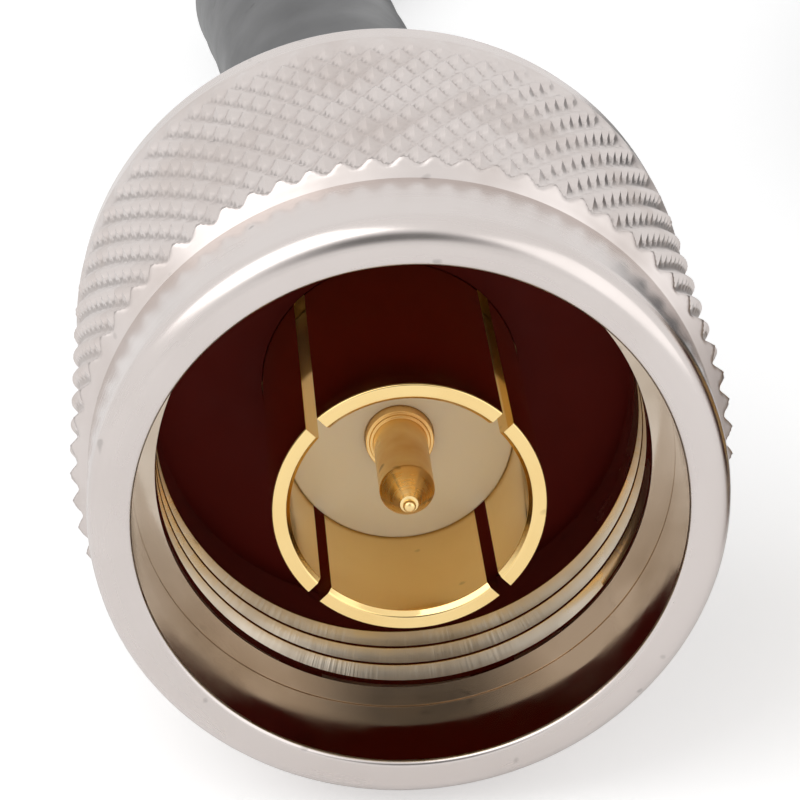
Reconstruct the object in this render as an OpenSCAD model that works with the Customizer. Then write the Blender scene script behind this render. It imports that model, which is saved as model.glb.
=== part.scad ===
// N type coaxial plug (male) on a jumper lead, millimetres.
// Each plug lies along Y with its mouth towards -Y. The origin is on the near plug's axis, in the
// reference plane where the rim of the outer contact meets a jack. Lengths along a plug, written s,
// start at that plane and grow towards the cable.

/* [Coupling nut] */
// Length of the nut, mouth to rear face
nut_len = 15; // [14.6:0.1:16]
// How far the mouth stands ahead of the reference plane
mouth_ahead = 0.9; // [0.5:0.1:1.3]
// Diameter of the smooth collar behind the mouth
collar_d = 18.9; // [18.5:0.1:19.1]
// Length of the smooth collar
collar_len = 3.4; // [2.6:0.1:4.2]
// Bore of the mouth, ahead of the thread
mouth_d = 16.3; // [16.1:0.1:16.8]
// Depth of the mouth bore
mouth_depth = 3.3; // [2.6:0.1:4]
// Minor diameter of the 5/8-24 thread
thread_minor_d = 14.86; // [14.73:0.01:14.99]
// Length of the threaded bore
thread_len = 5.4; // [4.5:0.1:5.7]
// Bore of the relief behind the thread
relief_d = 16.2; // [16.1:0.1:16.6]
// Wall of the nut between the relief and its ring groove
groove_web = 0.5; // [0.3:0.05:0.6]
// Chamfer of the mouth's outer edge
mouth_chamfer = 0.4; // [0.2:0.05:0.6]
// Chamfer of the rear edge
rear_chamfer = 0.3; // [0.1:0.05:0.5]

/* [Knurl] */
// Diameter over the diamonds' points
knurl_d = 20; // [19.7:0.1:20.6]
// Depth of the grooves
knurl_depth = 0.28; // [0.2:0.01:0.32]
// Diamonds in one turn, a multiple of four
knurl_count = 68; // [56:4:72]
// Angle of the grooves to the axis, degrees
knurl_angle = 30; // [27:1:40]
// Length of the plain band behind the knurl
band_len = 1.1; // [0.8:0.1:1.6]
// How far the band lies below the diamonds' points
band_drop = 0.15; // [0.1:0.01:0.18]

/* [Retaining ring] */
// Width of the ring along the axis
ring_w = 1.1; // [0.9:0.05:1.2]
// Outer diameter of the sprung ring
ring_d = 15.2; // [14.9:0.1:15.4]
// End play of ring and nut in the body's groove
ring_play = 0.4; // [0.2:0.05:0.6]
// Opening of the split ring, degrees
ring_split = 24; // [15:1:60]

/* [Plug body] */
// Diameter of the body inside the nut
body_d = 13.8; // [13.5:0.1:14]
// Diameter of the body's ring groove
groove_d = 12.2; // [11.8:0.1:12.6]
// Land of the body ahead of its ring groove
land_len = 1; // [0.8:0.05:1.2]
// How far the body stands out behind the nut
body_stand = 2.9; // [2.2:0.1:4]
// Width across the two wrench flats
flats_w = 12; // [11:0.1:13]
// Length of the wrench flats
flats_len = 2; // [1.2:0.1:2.1]
// Diameter of the neck behind the body
neck_d = 7.4; // [7:0.05:7.5]
// Length of the neck
neck_len = 1; // [0.6:0.1:1.6]
// Outer diameter of the crimp post
post_d = 4.9; // [4.7:0.05:5]
// Length of the crimp post
post_len = 5.5; // [4:0.1:6]

/* [Outer contact] */
// Outer diameter of the slotted sleeve
contact_d = 8.1; // [8:0.01:8.2]
// Bore of the slotted sleeve
contact_bore = 7.02; // [6.9:0.01:7.15]
// Width of the four slots
slot_w = 0.46; // [0.3:0.01:0.7]
// Length of the slots
slot_len = 9.2; // [7:0.1:10]
// Chamfer inside the rim
rim_chamfer = 0.12; // [0.05:0.01:0.25]
// Diameter of the root pressed in the body
root_d = 9.2; // [8.8:0.1:10]
// Length of the root
root_len = 3; // [2:0.1:3.1]
// Diameter of the sleeve's collar inside the gasket
contact_collar_d = 8.5; // [8.5:0.1:9.1]

/* [Gasket] */
// Distance from the reference plane to the gasket
gasket_reach = 8.75; // [8.6:0.05:9]
// Thickness of the gasket
gasket_t = 2; // [1.8:0.05:2.2]
// Outer diameter of the gasket
gasket_d = 15.9; // [15.5:0.1:16]

/* [Centre pin] */
// Diameter of the mating pin
pin_d = 1.65; // [1.6:0.01:1.7]
// Length of the pin's cone
cone_len = 1; // [0.7:0.05:1.4]
// Distance from the reference plane back to the point's tip
tip_back = 0; // [0:0.01:0.4]
// Radius of the rounded point
tip_r = 0.2; // [0.15:0.01:0.3]
// Diameter of the shoulder at the insulator's face
shoulder_d = 2.08; // [1.9:0.01:2.4]
// How far the shoulder stands ahead of the insulator
shoulder_ahead = 0.35; // [0.1:0.05:0.6]
// Diameter of the pin inside the insulators
shank_d = 3.04; // [2.8:0.01:3.2]
// Diameter of the flange between the insulators
flange_d = 4.4; // [4:0.1:5]
// Thickness of the flange
flange_t = 0.9; // [0.6:0.05:1.1]
// Diameter of the solder cup
cup_d = 2.6; // [2.3:0.05:2.8]
// Depth of the solder cup
cup_depth = 2.9; // [2:0.1:3.1]

/* [Insulators] */
// Distance from the reference plane to the insulator's face
insulator_back = 4.75; // [4.4:0.05:5.2]
// Length of the front insulator's narrow bore
lip_len = 1.1; // [0.8:0.05:1.5]
// Length of the front insulator
front_bead_len = 4.4; // [3.8:0.1:4.8]

/* [Cable] */
// Diameter over the jacket
cable_d = 6.1; // [5.9:0.05:6.15]
// Diameter of the foam core
core_d = 3.8; // [3.6:0.05:3.85]
// Diameter of the centre wire
wire_d = 1.42; // [1.3:0.01:1.5]
// Thickness of the braid over the post
braid_t = 0.28; // [0.2:0.01:0.3]

/* [Ferrule and sleeve] */
// Width across the flats of the hexagon crimp
crimp_w = 6.5; // [6.3:0.05:6.55]
// Outer diameter of the ferrule's round end
bell_d = 7.3; // [7:0.05:7.4]
// Length of the ferrule's round end
bell_len = 4.4; // [3:0.1:5]
// Wall of the heat-shrink sleeve
sleeve_t = 0.5; // [0.3:0.05:0.7]

/* [Coil] */
// Diameter of the coil at the middle of its turns
coil_d = 65; // [64:0.5:66]
// Spacing of the turns
turn_pitch = 6.2; // [6.15:0.05:6.5]
// Thickness of the strap round the coil
tie_t = 0.3; // [0.2:0.05:0.6]
// Width of the strap, in degrees round the coil
tie_angle = 13; // [8:1:24]

/* [Fits] */
// Gap of a seated or pressed fit, per side
seat_gap = 0.01; // [0.005:0.005:0.03]
// Gap between the turning nut and the body, per side
turn_gap = 0.15; // [0.1:0.01:0.2]
// Gap beside the retaining ring at each end of its play
side_gap = 0.05; // [0.03:0.01:0.1]

/* [Hidden] */
$fn = 96;

// Stations along a plug
mouth_s = -mouth_ahead;
step_s = mouth_s + collar_len;
shoulder_s = mouth_s + mouth_depth;
thread_end_s = shoulder_s + thread_len;
rear_s = mouth_s + nut_len;
band_s = rear_s - band_len;
face_s = gasket_reach + gasket_t;
groove_s = face_s + land_len;
ring_s = groove_s + side_gap;
body_groove_w = ring_w + ring_play + 2 * side_gap;
nut_groove_w = ring_w + 2 * side_gap;
relief_end_s = groove_s - groove_web;
root_end_s = face_s + root_len;
body_rear_s = rear_s + body_stand;
neck_end_s = body_rear_s + neck_len;
post_end_s = neck_end_s + post_len;
jacket_s = post_end_s + 0.5;
bell_s = jacket_s - 0.4;
ferrule_end_s = bell_s + bell_len;
bead_end_s = insulator_back + front_bead_len;
flange_end_s = bead_end_s + flange_t;
pin_end_s = root_end_s - 0.15;
cup_s = pin_end_s - cup_depth;
shank_s = insulator_back + lip_len;

// Radii
collar_r = collar_d / 2;
crest_r = knurl_d / 2;
groove_r = crest_r - knurl_depth;
band_r = crest_r - band_drop;
body_r = body_d / 2;
nut_bore_r = body_r + turn_gap;
nut_groove_r = ring_d / 2 + turn_gap;
ring_bore_r = groove_d / 2 + turn_gap;
contact_r = contact_d / 2;
contact_bore_r = contact_bore / 2;
core_hole_r = core_d / 2 + 0.08;
braid_r = post_d / 2 + seat_gap + braid_t;
cable_r = cable_d / 2;
floor_z = -crest_r;

// Diamonds of the knurl: half a diamond is one column and one row
knurl_cols = 2 * knurl_count;
knurl_len = band_s - step_s;
knurl_rows = round(knurl_len * tan(knurl_angle) / (180 * knurl_d / knurl_cols * PI / 180));
knurl_row_len = knurl_len / knurl_rows;
run_out = 0.05;
knurl_root = 0.4;

// Route of the cable from the near plug to the coil, and from the coil to the far plug
near_route = [
    [0, 24, 0], [0, 28, 0], [-0.2, 31, 0], [-0.6, 34, 0], [-1.1, 38, 0], [-1.8, 44, -0.2],
    [-2.4, 50, -0.8], [-2.8, 56, -2], [-2.9, 61, -3.3], [-2, 66, -4.5], [-0.2, 71.5, -5.7],
    [2.8, 76.7, -6.4], [7, 81.4, -6.6], [12, 85, -6.6], [17.8, 87.5, -6.6], [24, 88.8, -6.6],
    [31, 89, -6.6], [41, 89, -6.6], [51, 89, -6.6], [61.4, 89, -6.6]];
far_route = [
    [45, 9.6, 0], [53, 9.6, 0], [60, 9.6, -0.1], [67, 9.7, -0.4], [74.5, 10.6, -1.2],
    [81.6, 13.4, -2.1], [88, 18.3, -2.8], [92.9, 24.4, -2.7], [96, 31.8, -2.1], [97, 40, -1.1],
    [97, 47, -0.6], [97, 53.4, -0.4]];
near_sleeve_tail = [
    [-0.1, 29.5, 0], [-0.2, 31, 0], [-0.6, 34, 0], [-1.1, 38, 0], [-1.8, 44, -0.2], [-2, 46, -0.4]];
far_place = [21, 9.6, 0];
far_turn = -90;
far_sleeve_tail = [[0, 29.5, 0], [0, 34, 0], [0, 40, -0.1], [-0.1, 46, -0.4]];
coil_centre = [61.4, 53.4];
tie_place = 225;
cord_sides = 10;
sleeve_sides = 16;

nickel = [0.83, 0.79, 0.77];
gold = [0.86, 0.66, 0.32];
ptfe = [0.94, 0.91, 0.85];
maroon = [0.3, 0.06, 0.08];
grey = [0.44, 0.44, 0.44];

// ---- Helpers ----

// A solid of revolution about the plug's axis: each point is [radius, s]
module turned(profile) {
    rotate([-90, 0, 0]) rotate_extrude() polygon(profile);
}

// A plain tube about the plug's axis from s0 to s1
module tube(r_out, r_in, s0, s1) {
    turned([[r_in, s0], [r_out, s0], [r_out, s1], [r_in, s1]]);
}

module rod(r, s0, s1) {
    translate([0, s0, 0]) rotate([-90, 0, 0]) cylinder(r = r, h = s1 - s0);
}

// Places a plug's piece at the far end of the cable, its mouth towards -X
module at_far_end() {
    translate(far_place) rotate([0, 0, far_turn]) children();
}

function unit(v) = v / norm(v);

// Direction of a path at its point i
function heading(path, i) = unit(path[min(i + 1, len(path) - 1)] - path[max(i - 1, 0)]);

// A ring of points of radius r square to the direction t
function ring(centre, t, r, sides) =
    let (across = unit(cross(t, [0, 0, 1])), up = cross(across, t))
    [for (k = [0:sides - 1])
        centre + r * (cos(360 * k / sides) * across + sin(360 * k / sides) * up)];

function rings(path, radii, sides) =
    [for (i = [0:len(path) - 1]) ring(path[i], heading(path, i), radii[i], sides)];

function flat(rows) = [for (row = rows) each row];

// Triangles between two neighbouring rings of points, split crosswise like a draughtboard
function strip(k0, k1, sides) = [
    for (i = [0:sides - 1])
        let (j = (i + 1) % sides,
             a = k0 * sides + i, b = k0 * sides + j, c = k1 * sides + j, d = k1 * sides + i)
        each ((i + k0) % 2 == 0 ? [[a, d, b], [b, d, c]] : [[a, c, b], [a, d, c]])];

// A solid rod through rings of points
module skinned_rod(rows) {
    sides = len(rows[0]);
    last = len(rows) - 1;
    polyhedron(
        points = flat(rows),
        faces = concat(
            [[for (i = [0:sides - 1]) i]],
            [for (k = [0:last - 1]) each strip(k, k + 1, sides)],
            [[for (i = [sides - 1:-1:0]) last * sides + i]]));
}

// A closed shell whose rings of points run out along one wall and back along the other
module skinned_shell(rows) {
    sides = len(rows[0]);
    count = len(rows);
    polyhedron(
        points = flat(rows),
        faces = [for (k = [0:count - 1]) each strip(k, (k + 1) % count, sides)]);
}

// ---- Coupling nut and its ring ----

// One ring of the knurl's points at station s, with radius in or between the grooves
function knurl_ring(s, r_even, r_odd) = [
    for (i = [0:knurl_cols - 1])
        let (a = 360 * i / knurl_cols, r = i % 2 == 0 ? r_even : r_odd)
        [r * cos(a), s, -r * sin(a)]];

// Two crossing sets of V grooves leave a belt of pointed diamonds
module knurl_belt() {
    inner_r = collar_r - knurl_root;
    end_r = band_r - run_out;
    end_s = band_s + 2 * run_out;
    skinned_shell(concat(
        [for (k = [0:knurl_rows - 1])
            knurl_ring(step_s + k * knurl_row_len,
                k % 2 == 0 ? crest_r : groove_r, k % 2 == 0 ? groove_r : crest_r)],
        [knurl_ring(band_s, end_r, end_r),
         knurl_ring(end_s + 4 * run_out, end_r, end_r),
         knurl_ring(end_s + 4 * run_out, inner_r, inner_r),
         knurl_ring(step_s, inner_r, inner_r)]));
}

// Turned from a blank: mouth, thread, relief, rear bore and ring groove are cut in turn
module coupling_nut() {
    color(nickel) union() {
        difference() {
            turned([
                [0, mouth_s], [collar_r - mouth_chamfer, mouth_s],
                [collar_r, mouth_s + mouth_chamfer], [collar_r, band_s + run_out],
                [band_r, band_s + run_out], [band_r, rear_s - rear_chamfer],
                [band_r - rear_chamfer, rear_s], [0, rear_s]]);
            rod(mouth_d / 2, mouth_s - 1, shoulder_s);
            rod(thread_minor_d / 2, mouth_s - 1, thread_end_s);
            rod(relief_d / 2, thread_end_s, relief_end_s);
            rod(nut_bore_r, thread_end_s, rear_s + 1);
            rod(nut_groove_r, groove_s, groove_s + nut_groove_w);
        }
        knurl_belt();
    }
}

module retaining_ring() {
    reach = ring_d;
    color(nickel) difference() {
        tube(ring_d / 2, ring_bore_r, ring_s, ring_s + ring_w);
        rotate([-90, 0, 0]) translate([0, 0, ring_s - 1]) linear_extrude(ring_w + 2)
            polygon([[0, 0],
                     [reach * sin(ring_split / 2), -reach * cos(ring_split / 2)],
                     [-reach * sin(ring_split / 2), -reach * cos(ring_split / 2)]]);
    }
}

// ---- Body and gasket ----

module gasket() {
    color(maroon)
        tube(gasket_d / 2, contact_collar_d / 2 + seat_gap, gasket_reach, face_s - seat_gap);
}

module plug_body() {
    seat_r = root_d / 2 + seat_gap;
    color(nickel) difference() {
        turned([
            [seat_r, face_s], [body_r, face_s], [body_r, groove_s], [groove_d / 2, groove_s],
            [groove_d / 2, groove_s + body_groove_w], [body_r, groove_s + body_groove_w],
            [body_r, body_rear_s], [neck_d / 2, body_rear_s], [neck_d / 2, neck_end_s],
            [post_d / 2, neck_end_s], [post_d / 2, post_end_s], [core_hole_r, post_end_s],
            [core_hole_r, root_end_s + seat_gap], [seat_r, root_end_s + seat_gap]]);
        for (side = [-1, 1])
            translate([side * (flats_w / 2 + body_r), body_rear_s - flats_len / 2, 0])
                cube([2 * body_r, flats_len + 0.02, 2 * body_d], center = true);
    }
}

// ---- Contacts and insulators ----

module outer_contact() {
    color(gold) difference() {
        turned([
            [contact_bore_r + rim_chamfer, 0], [contact_r - rim_chamfer / 2, 0],
            [contact_r, rim_chamfer / 2], [contact_r, gasket_reach],
            [contact_collar_d / 2, gasket_reach], [contact_collar_d / 2, face_s],
            [root_d / 2, face_s], [root_d / 2, root_end_s],
            [contact_bore_r, root_end_s], [contact_bore_r, rim_chamfer]]);
        for (a = [45, 135])
            rotate([0, a, 0]) translate([-contact_d, -1, -slot_w / 2])
                cube([2 * contact_d, slot_len + 1, slot_w]);
    }
}

module front_insulator() {
    bead_r = contact_bore_r - seat_gap;
    color(ptfe) turned([
        [shoulder_d / 2 + seat_gap, insulator_back], [bead_r, insulator_back],
        [bead_r, bead_end_s - seat_gap], [shank_d / 2 + seat_gap, bead_end_s - seat_gap],
        [shank_d / 2 + seat_gap, shank_s - seat_gap], [shoulder_d / 2 + seat_gap, shank_s - seat_gap]]);
}

module rear_insulator() {
    color(ptfe)
        tube(contact_bore_r - seat_gap, cup_d / 2 + seat_gap, flange_end_s + seat_gap, root_end_s - seat_gap);
}

module centre_pin() {
    pin_r = pin_d / 2;
    cone_s = tip_back + tip_r;
    color(gold) union() {
        translate([0, cone_s, 0]) rotate([-90, 0, 0]) sphere(r = tip_r);
        turned([
            [0, cone_s], [0.9 * tip_r, cone_s], [pin_r, cone_s + cone_len],
            [pin_r, insulator_back - shoulder_ahead], [shoulder_d / 2, insulator_back - shoulder_ahead],
            [shoulder_d / 2, shank_s], [shank_d / 2, shank_s], [shank_d / 2, bead_end_s],
            [flange_d / 2, bead_end_s], [flange_d / 2, flange_end_s], [cup_d / 2, flange_end_s],
            [cup_d / 2, pin_end_s], [wire_d / 2 + seat_gap, pin_end_s], [wire_d / 2 + seat_gap, cup_s],
            [0, cup_s]]);
    }
}

// ---- Cable end, ferrule and sleeve ----

module centre_conductor() {
    color(gold) rod(wire_d / 2, cup_s + seat_gap, jacket_s - seat_gap);
}

module dielectric() {
    color(ptfe) tube(core_d / 2, wire_d / 2 + seat_gap, root_end_s + seat_gap, jacket_s - seat_gap);
}

module braid() {
    color(nickel)
        tube(braid_r, post_d / 2 + seat_gap, neck_end_s + 0.3, bell_s - seat_gap);
}

// Crimped to a hexagon over the braid, left round over the jacket
module crimp_ferrule() {
    color(nickel) difference() {
        union() {
            translate([0, neck_end_s + seat_gap, 0]) rotate([-90, 0, 0])
                cylinder(d = crimp_w / cos(30), h = bell_s - neck_end_s, $fn = 6);
            rod(bell_d / 2, bell_s - 0.4, ferrule_end_s);
        }
        rod(braid_r + seat_gap, neck_end_s - 1, bell_s + 0.1);
        rod(cable_r + 0.1, bell_s, ferrule_end_s + 1);
    }
}

// Shrunk over neck and ferrule, then down to the cable along its route
module heat_shrink(tail) {
    round_up = 1 / cos(180 / sleeve_sides);
    wide_r = (max(neck_d, crimp_w / cos(30), bell_d) / 2 + 0.08) * round_up;
    slim_r = (cable_r + 0.05) * round_up;
    path = concat(
        [[0, body_rear_s + 0.1, 0], [0, neck_end_s, 0], [0, bell_s, 0], [0, ferrule_end_s + 0.3, 0]],
        tail);
    inner = [for (i = [0:len(path) - 1]) i < 4 ? wide_r : slim_r];
    outer = [for (r = inner) r + sleeve_t];
    outer_rings = rings(path, outer, sleeve_sides);
    inner_rings = rings(path, inner, sleeve_sides);
    color(grey)
        skinned_shell(concat(outer_rings, [for (i = [len(path) - 1:-1:0]) inner_rings[i]]));
}

module cable_lead(route) {
    color(grey)
        skinned_rod(rings(route, [for (p = route) cable_r], cord_sides));
}

// ---- Coil and strap ----

// Section of the wound bundle, two turns wide and two high, with an extra margin round it
module bundle_section(margin) {
    side = turn_pitch + cable_d + 2 * margin;
    corner = cable_r + margin;
    mid_z = floor_z + tie_t + seat_gap + (turn_pitch + cable_d) / 2;
    translate([coil_d / 2, mid_z]) union() {
        square([side, side - 2 * corner], center = true);
        square([side - 2 * corner, side], center = true);
        for (x = [-1, 1], z = [-1, 1])
            translate([x * (side / 2 - corner), z * (side / 2 - corner)]) circle(r = corner);
    }
}

module cable_coil() {
    color(grey) translate(coil_centre) rotate_extrude() bundle_section(0);
}

module coil_tie() {
    color([0.12, 0.12, 0.12]) translate(coil_centre) rotate([0, 0, tie_place - tie_angle / 2])
        rotate_extrude(angle = tie_angle) difference() {
            bundle_section(seat_gap + tie_t);
            bundle_section(seat_gap);
        }
}

coupling_nut();  // near_coupling_nut
retaining_ring();  // near_retaining_ring
gasket();  // near_gasket
plug_body();  // near_plug_body
outer_contact();  // near_outer_contact
front_insulator();  // near_front_insulator
rear_insulator();  // near_rear_insulator
centre_pin();  // near_centre_pin
centre_conductor();  // near_centre_conductor
dielectric();  // near_dielectric
braid();  // near_braid
crimp_ferrule();  // near_crimp_ferrule
heat_shrink(near_sleeve_tail);  // near_heat_shrink
at_far_end() coupling_nut();  // far_coupling_nut
at_far_end() retaining_ring();  // far_retaining_ring
at_far_end() gasket();  // far_gasket
at_far_end() plug_body();  // far_plug_body
at_far_end() outer_contact();  // far_outer_contact
at_far_end() front_insulator();  // far_front_insulator
at_far_end() rear_insulator();  // far_rear_insulator
at_far_end() centre_pin();  // far_centre_pin
at_far_end() centre_conductor();  // far_centre_conductor
at_far_end() dielectric();  // far_dielectric
at_far_end() braid();  // far_braid
at_far_end() crimp_ferrule();  // far_crimp_ferrule
at_far_end() heat_shrink(far_sleeve_tail);  // far_heat_shrink
cable_lead(near_route);  // cable_lead_near
cable_coil();
cable_lead(far_route);  // cable_lead_far
coil_tie();
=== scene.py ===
"""A coaxial plug of the N type on its lead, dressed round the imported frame.

Every plug lies along Y with its mouth towards -Y. A length along a plug, written s, starts at its
reference plane, where the rim of the outer contact meets a jack, and grows towards the cable.
Radii and lengths in the dataclasses are millimetres, and the meshes are built in metres.
"""

import logging
import math
from dataclasses import dataclass, field
from enum import Enum, IntEnum

import bmesh
import bpy
import numpy as np
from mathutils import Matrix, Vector


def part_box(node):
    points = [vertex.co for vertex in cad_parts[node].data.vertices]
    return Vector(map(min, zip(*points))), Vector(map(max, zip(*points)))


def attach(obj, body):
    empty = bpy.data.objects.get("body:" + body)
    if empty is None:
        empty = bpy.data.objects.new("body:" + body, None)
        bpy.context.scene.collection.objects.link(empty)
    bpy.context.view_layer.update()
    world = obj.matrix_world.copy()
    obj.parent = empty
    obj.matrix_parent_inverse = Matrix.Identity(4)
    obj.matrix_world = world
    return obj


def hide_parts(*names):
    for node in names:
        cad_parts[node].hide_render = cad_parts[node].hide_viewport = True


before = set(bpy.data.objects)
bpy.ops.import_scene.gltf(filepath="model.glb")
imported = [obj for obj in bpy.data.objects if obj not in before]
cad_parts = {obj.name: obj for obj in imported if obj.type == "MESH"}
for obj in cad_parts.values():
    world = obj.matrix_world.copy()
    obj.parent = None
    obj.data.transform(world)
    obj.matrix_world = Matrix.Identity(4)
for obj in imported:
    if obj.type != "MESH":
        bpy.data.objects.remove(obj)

MM = 0.001
TAU = 2.0 * math.pi
LOG = logging.getLogger("plug")
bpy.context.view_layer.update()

# The surroundings: their strength as light, and for reflections a darker side, with the direction of its
# middle, the cosines at which it begins and is full, and its strength
WORLD_LIGHT = 0.72
ROOM_SIDE = (0.0, -0.86, 0.51)
ROOM_EDGE = (0.9, 0.99)
ROOM_DARK = 0.15
# How far the floor is lifted towards white where it is seen, and in reflections
FLOOR_LIFT = 0.42
FLOOR_SHINE = 0.22
# The range of a noise's values that the roughness follows
MARK_SPAN = (0.3, 0.7)
# A rounded corner's hold point lies this part of its fillet past the arc's end
HOLD = 0.2
# Points nearer than this are merged, in metres: on a seam, and where a profile meets the axis
SEAM_WELD = 2e-8
AXIS_WELD = 1e-7


class Side(Enum):
    """The two ends of the lead."""

    NEAR = "near"
    FAR = "far"


@dataclass(frozen=True)
class Placement:
    """Where a plug lies: its reference point in metres, and its turn about the vertical in radians."""

    origin: tuple[float, float, float] = (0.0, 0.0, 0.0)
    turn: float = 0.0

    def world(self, points: np.ndarray) -> np.ndarray:
        """Turns a plug's own points about the vertical and moves them to their place.

        Args:
            points: Points in the plug's own axes, shape (..., 3), in millimetres.

        Returns:
            The points in the frame, in metres.
        """
        c, s = math.cos(self.turn), math.sin(self.turn)
        turned_points = points @ np.array([[c, s, 0.0], [-s, c, 0.0], [0.0, 0.0, 1.0]])
        return turned_points * MM + np.array(self.origin)


HERE = Placement()


# ---- Mesh tools ----


def rounded(points: list[tuple[float, float, float]], steps: int = 4) -> np.ndarray:
    """Rounds the corners of a closed profile.

    Each corner becomes a circular arc that touches both of its sides, with a short hold point on each
    side so that the flats beside it shade flat.

    Args:
        points: Corners as (radius, s, fillet), in millimetres; a fillet of 0 keeps a sharp corner.
        steps: How many chords one arc has.

    Returns:
        The profile's points as an array of shape (n, 2).
    """
    corners = np.array([p[:2] for p in points], float)
    out: list[np.ndarray] = []
    count = len(corners)
    for i, (_, _, fillet) in enumerate(points):
        here = corners[i]
        if fillet <= 0.0:
            out.append(here)
            continue
        to_last = corners[i - 1] - here
        to_next = corners[(i + 1) % count] - here
        to_last /= np.linalg.norm(to_last)
        to_next /= np.linalg.norm(to_next)
        half = 0.5 * math.acos(float(np.clip(to_last @ to_next, -1.0, 1.0)))
        reach = fillet / math.tan(half)
        middle = to_last + to_next
        centre = here + middle / np.linalg.norm(middle) * (fillet / math.sin(half))
        first, last = here + to_last * reach, here + to_next * reach
        start, end = first - centre, last - centre
        turn = math.acos(float(np.clip(start @ end / fillet**2, -1.0, 1.0)))
        out.append(first + to_last * HOLD * fillet)
        for w in np.linspace(0.0, 1.0, steps + 1):
            out.append(
                centre + (math.sin((1 - w) * turn) * start + math.sin(w * turn) * end) / math.sin(turn)
            )
        out.append(last + to_next * HOLD * fillet)
    return np.array(out)


def grid_faces(rows: int, cols: int, close_rows: bool, close_cols: bool) -> np.ndarray:
    """Quads of a grid of points stored row by row.

    Args:
        rows: Number of rows.
        cols: Number of points in a row.
        close_rows: Whether the last row joins the first.
        close_cols: Whether each row is a ring.

    Returns:
        Quads as an array of shape (n, 4).
    """
    r = np.arange(rows if close_rows else rows - 1)[:, None]
    c = np.arange(cols if close_cols else cols - 1)[None, :]
    r1, c1 = (r + 1) % rows, (c + 1) % cols
    return np.stack([r * cols + c, r * cols + c1, r1 * cols + c1, r1 * cols + c], -1).reshape(-1, 4)


def make_mesh(
    name: str, points: np.ndarray, faces: np.ndarray | list[list[int]], crease: float, weld: float = 0.0
) -> bpy.types.Object:
    """Makes a smooth-shaded object at the origin from points and faces.

    Args:
        name: The piece's name.
        points: Points in metres, shape (..., 3).
        faces: Faces as rows of point numbers.
        crease: Angle in degrees above which an edge stays sharp.
        weld: Merge distance in metres, or 0 to merge nothing.

    Returns:
        The new object.
    """
    mesh = bpy.data.meshes.new(name)
    mesh.from_pydata(np.reshape(points, (-1, 3)).tolist(), [], [list(map(int, f)) for f in faces])
    work = bmesh.new()
    work.from_mesh(mesh)
    if weld > 0.0:
        bmesh.ops.remove_doubles(work, verts=work.verts, dist=weld)
        bmesh.ops.dissolve_degenerate(work, edges=work.edges, dist=weld)
    bmesh.ops.recalc_face_normals(work, faces=work.faces)
    work.to_mesh(mesh)
    work.free()
    mesh.polygons.foreach_set("use_smooth", np.ones(len(mesh.polygons), bool))
    mesh.update()
    mesh.set_sharp_from_angle(angle=math.radians(crease))
    piece = bpy.data.objects.new(name, mesh)
    bpy.context.scene.collection.objects.link(piece)
    return piece


def revolved(r: np.ndarray, s: np.ndarray, angle: np.ndarray) -> np.ndarray:
    """Points round a plug's axis: x = r cos(angle), y = s, z = r sin(angle)."""
    return np.stack(np.broadcast_arrays(r * np.cos(angle), s, r * np.sin(angle)), -1)


def smooth_path(points: np.ndarray, per_span: int) -> np.ndarray:
    """A Catmull-Rom curve through points: on each span a cubic whose slope at a point is half the
    difference of its neighbours.

    Args:
        points: Route points, shape (n, 3).
        per_span: Samples on each span.

    Returns:
        Points along the curve, ends included.
    """
    p = np.vstack([2 * points[0] - points[1], points, 2 * points[-1] - points[-2]])
    w = np.linspace(0.0, 1.0, per_span, endpoint=False)[None, :, None]
    a, b, c, d = (p[i : len(p) - 3 + i, None, :] for i in range(4))
    square, cube = 2 * a - 5 * b + 4 * c - d, 3 * b - a - 3 * c + d
    curve = 0.5 * (2 * b + (c - a) * w + square * w**2 + cube * w**3)
    return np.vstack([curve.reshape(-1, 3), points[-1]])


def eased(place: np.ndarray, start: float, end: float) -> np.ndarray:
    """A smooth step from 0 at the start to 1 at the end: w squared times (3 - 2w), w held to 0..1."""
    w = np.clip((place - start) / (end - start), 0.0, 1.0)
    return w * w * (3.0 - 2.0 * w)


def swept(path: np.ndarray, radius: np.ndarray) -> np.ndarray:
    """Rings of points carried along a path, each square to it: point = centre + radius times (cos, sin)
    of the angle on two unit vectors across the path.

    Args:
        path: Centres, shape (n, 3).
        radius: Radii, shape (n, cols), in the unit of the path.

    Returns:
        Points of shape (n, cols, 3).
    """
    ahead = np.gradient(path, axis=0)
    ahead /= np.linalg.norm(ahead, axis=1, keepdims=True)
    side = np.cross(ahead, np.array([0.0, 0.0, 1.0]))
    side /= np.linalg.norm(side, axis=1, keepdims=True)
    up = np.cross(side, ahead)
    angle = np.arange(radius.shape[1]) * TAU / radius.shape[1]
    cosine, sine = np.cos(angle)[None, :, None], np.sin(angle)[None, :, None]
    across = cosine * side[:, None, :] + sine * up[:, None, :]
    return path[:, None, :] + radius[:, :, None] * across


# ---- Shader tools ----


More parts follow.
